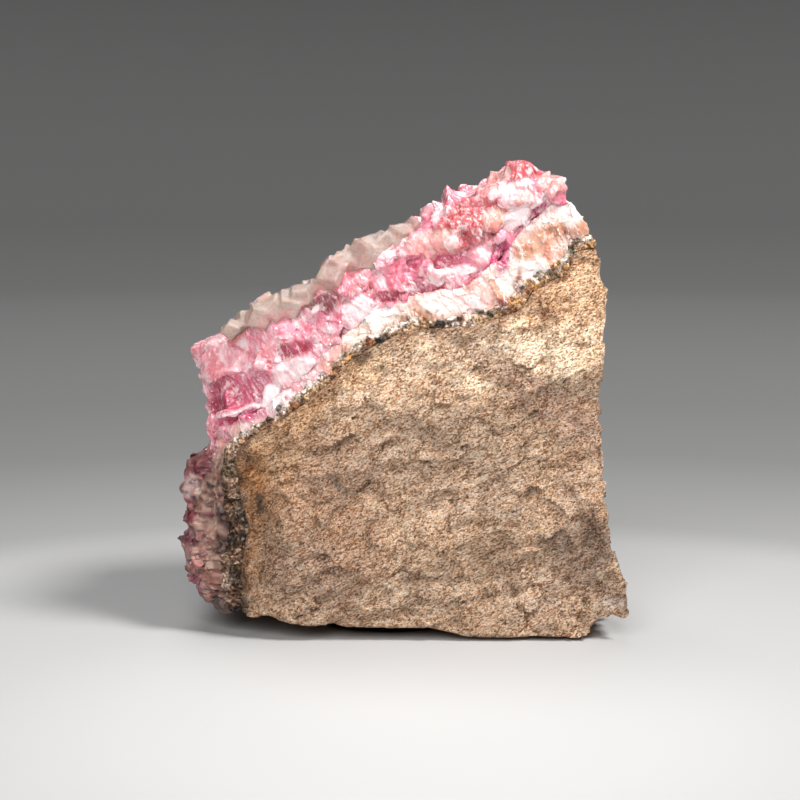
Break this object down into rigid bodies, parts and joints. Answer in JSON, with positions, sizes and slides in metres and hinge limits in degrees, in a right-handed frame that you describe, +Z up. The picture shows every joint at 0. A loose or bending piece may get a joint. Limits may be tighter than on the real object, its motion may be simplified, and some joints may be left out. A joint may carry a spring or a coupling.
{
  "type": "cobaltoan calcite specimen",
  "caption": "Mineral hand specimen: a crust of pink rhombohedral calcite crystals over a pale calcite band and a dark ore seam on a block of sandstone, standing on a flat foot.",
  "frame": {"origin": "on the surface the specimen stands on, under the middle of its bounding box", "axes": "+Z up, +X to the right and -Y towards the viewer of the broken section that shows the sandstone and the vein"},
  "size_m": [0.0816, 0.0529, 0.0857],
  "materials": {
    "sandstone": "granular, dull, tan with brown and grey stains",
    "ore": "dark grains with rust-orange spots, uneven",
    "pale_calcite": "cream to peach, translucent, vitreous breaks",
    "pink_calcite": "pink to magenta, translucent, vitreous crystal faces"
  },
  "bodies": {
    "root": {"sandstone_matrix": "sandstone", "ore_seam": "ore", "pale_calcite_band": "pale_calcite", "pink_calcite_crust": "pink_calcite"}
  },
  "joints": []
}
